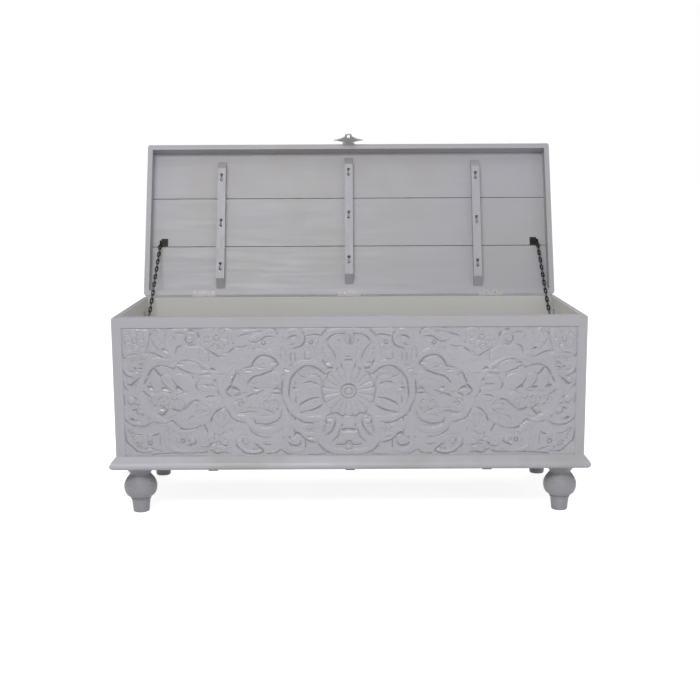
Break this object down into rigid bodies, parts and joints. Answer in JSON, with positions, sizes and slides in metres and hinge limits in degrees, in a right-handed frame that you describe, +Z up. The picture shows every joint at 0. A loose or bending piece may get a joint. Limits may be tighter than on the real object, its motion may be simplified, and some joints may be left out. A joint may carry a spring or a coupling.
{
  "type": "damchiya chest",
  "caption": "Low white-painted blanket chest, 1.16 m long, with a carved scrollwork front, four turned feet and a lift lid on three butt hinges and two chain stays.",
  "frame": {"origin": "on the floor, at the centre of the footprint of the bounding box with the lid open", "axes": "+X along the chest to the right seen from the front, +Y from the front to the back, +Z up"},
  "size_m": [1.16, 0.6488, 0.9283],
  "materials": {
    "white_painted_wood": "white paint, satin",
    "dark_wood": "dark unpainted hardwood",
    "painted_hinge_steel": "white painted steel, satin",
    "dark_chain_brass": "darkened, nearly black",
    "painted_screw_steel": "steel, partly painted over"
  },
  "bodies": {
    "carcase": {"back_board_lower": "white_painted_wood", "back_board_upper": "white_painted_wood", "base_moulding_front": "white_painted_wood", "base_moulding_left": "white_painted_wood", "base_moulding_right": "white_painted_wood", "base_rail_back": "white_painted_wood", "carved_front_panel": "white_painted_wood", "chain_wall_plates": "dark_chain_brass", "chain_wall_screws": "dark_chain_brass", "corner_blocks": "white_painted_wood", "floor_batten_left": "dark_wood", "floor_batten_middle": "dark_wood", "floor_batten_right": "dark_wood", "floor_board_1": "white_painted_wood", "floor_board_2": "white_painted_wood", "floor_board_3": "white_painted_wood", "foot_back_left": "white_painted_wood", "foot_back_right": "white_painted_wood", "foot_front_left": "white_painted_wood", "foot_front_right": "white_painted_wood", "front_stile_left": "white_painted_wood", "front_stile_right": "white_painted_wood", "front_top_rail": "white_painted_wood", "hinge_box_leaves": "painted_hinge_steel", "hinge_box_screws": "painted_screw_steel", "hinge_pins": "painted_hinge_steel", "side_board_left": "white_painted_wood", "side_board_right": "white_painted_wood", "staple": "painted_hinge_steel"},
    "lid": {"chain_lid_plates": "dark_chain_brass", "chain_lid_screws": "dark_chain_brass", "hasp_pin": "painted_hinge_steel", "hasp_plate": "painted_hinge_steel", "hasp_screws": "painted_screw_steel", "hinge_lid_leaves": "painted_hinge_steel", "hinge_lid_screws": "painted_screw_steel", "lid_batten_left": "white_painted_wood", "lid_batten_middle": "white_painted_wood", "lid_batten_right": "white_painted_wood", "lid_batten_screws": "painted_screw_steel", "lid_plank_back": "white_painted_wood", "lid_plank_front": "white_painted_wood", "lid_plank_middle": "white_painted_wood", "lid_rim_back": "white_painted_wood", "lid_rim_front": "white_painted_wood", "lid_rim_left": "white_painted_wood", "lid_rim_right": "white_painted_wood"},
    "hasp_flap": {"hasp_flap": "painted_hinge_steel"},
    "chain_left_lower": {"chain_left_lower": "dark_chain_brass"},
    "chain_left_upper": {"chain_left_upper": "dark_chain_brass"},
    "chain_right_lower": {"chain_right_lower": "dark_chain_brass"},
    "chain_right_upper": {"chain_right_upper": "dark_chain_brass"}
  },
  "joints": [
    {"name": "lid_hinge", "type": "hinge", "parent": "carcase", "child": "lid", "pos_m": [0, 0.12806, 0.4883], "axis": [1, 0, 0], "range_deg": [0, 109.7]},
    {"name": "hasp_hinge", "type": "hinge", "parent": "lid", "child": "hasp_flap", "pos_m": [0, 0.28013, 0.90322], "axis": [-1, 0, 0], "range_deg": [0, 170]},
    {"name": "chain_left_lower_swing", "type": "hinge", "parent": "carcase", "child": "chain_left_lower", "pos_m": [-0.538, 0.05206, 0.446], "axis": [1, 0, 0], "range_deg": [0, 162.1]},
    {"name": "chain_left_upper_swing", "type": "hinge", "parent": "lid", "child": "chain_left_upper", "pos_m": [-0.527, 0.21065, 0.63206], "axis": [1, 0, 0], "range_deg": [-81.7, 0]},
    {"name": "chain_right_lower_swing", "type": "hinge", "parent": "carcase", "child": "chain_right_lower", "pos_m": [0.538, 0.05206, 0.446], "axis": [1, 0, 0], "range_deg": [0, 162.1]},
    {"name": "chain_right_upper_swing", "type": "hinge", "parent": "lid", "child": "chain_right_upper", "pos_m": [0.527, 0.21065, 0.63206], "axis": [1, 0, 0], "range_deg": [-81.7, 0]}
  ],
  "couplings": [
    {"joint": "chain_left_lower_swing", "follows": "lid_hinge", "ratio": 1.4731},
    {"joint": "chain_left_upper_swing", "follows": "lid_hinge", "ratio": -0.74019},
    {"joint": "chain_right_lower_swing", "follows": "lid_hinge", "ratio": 1.4731},
    {"joint": "chain_right_upper_swing", "follows": "lid_hinge", "ratio": -0.74019}
  ]
}
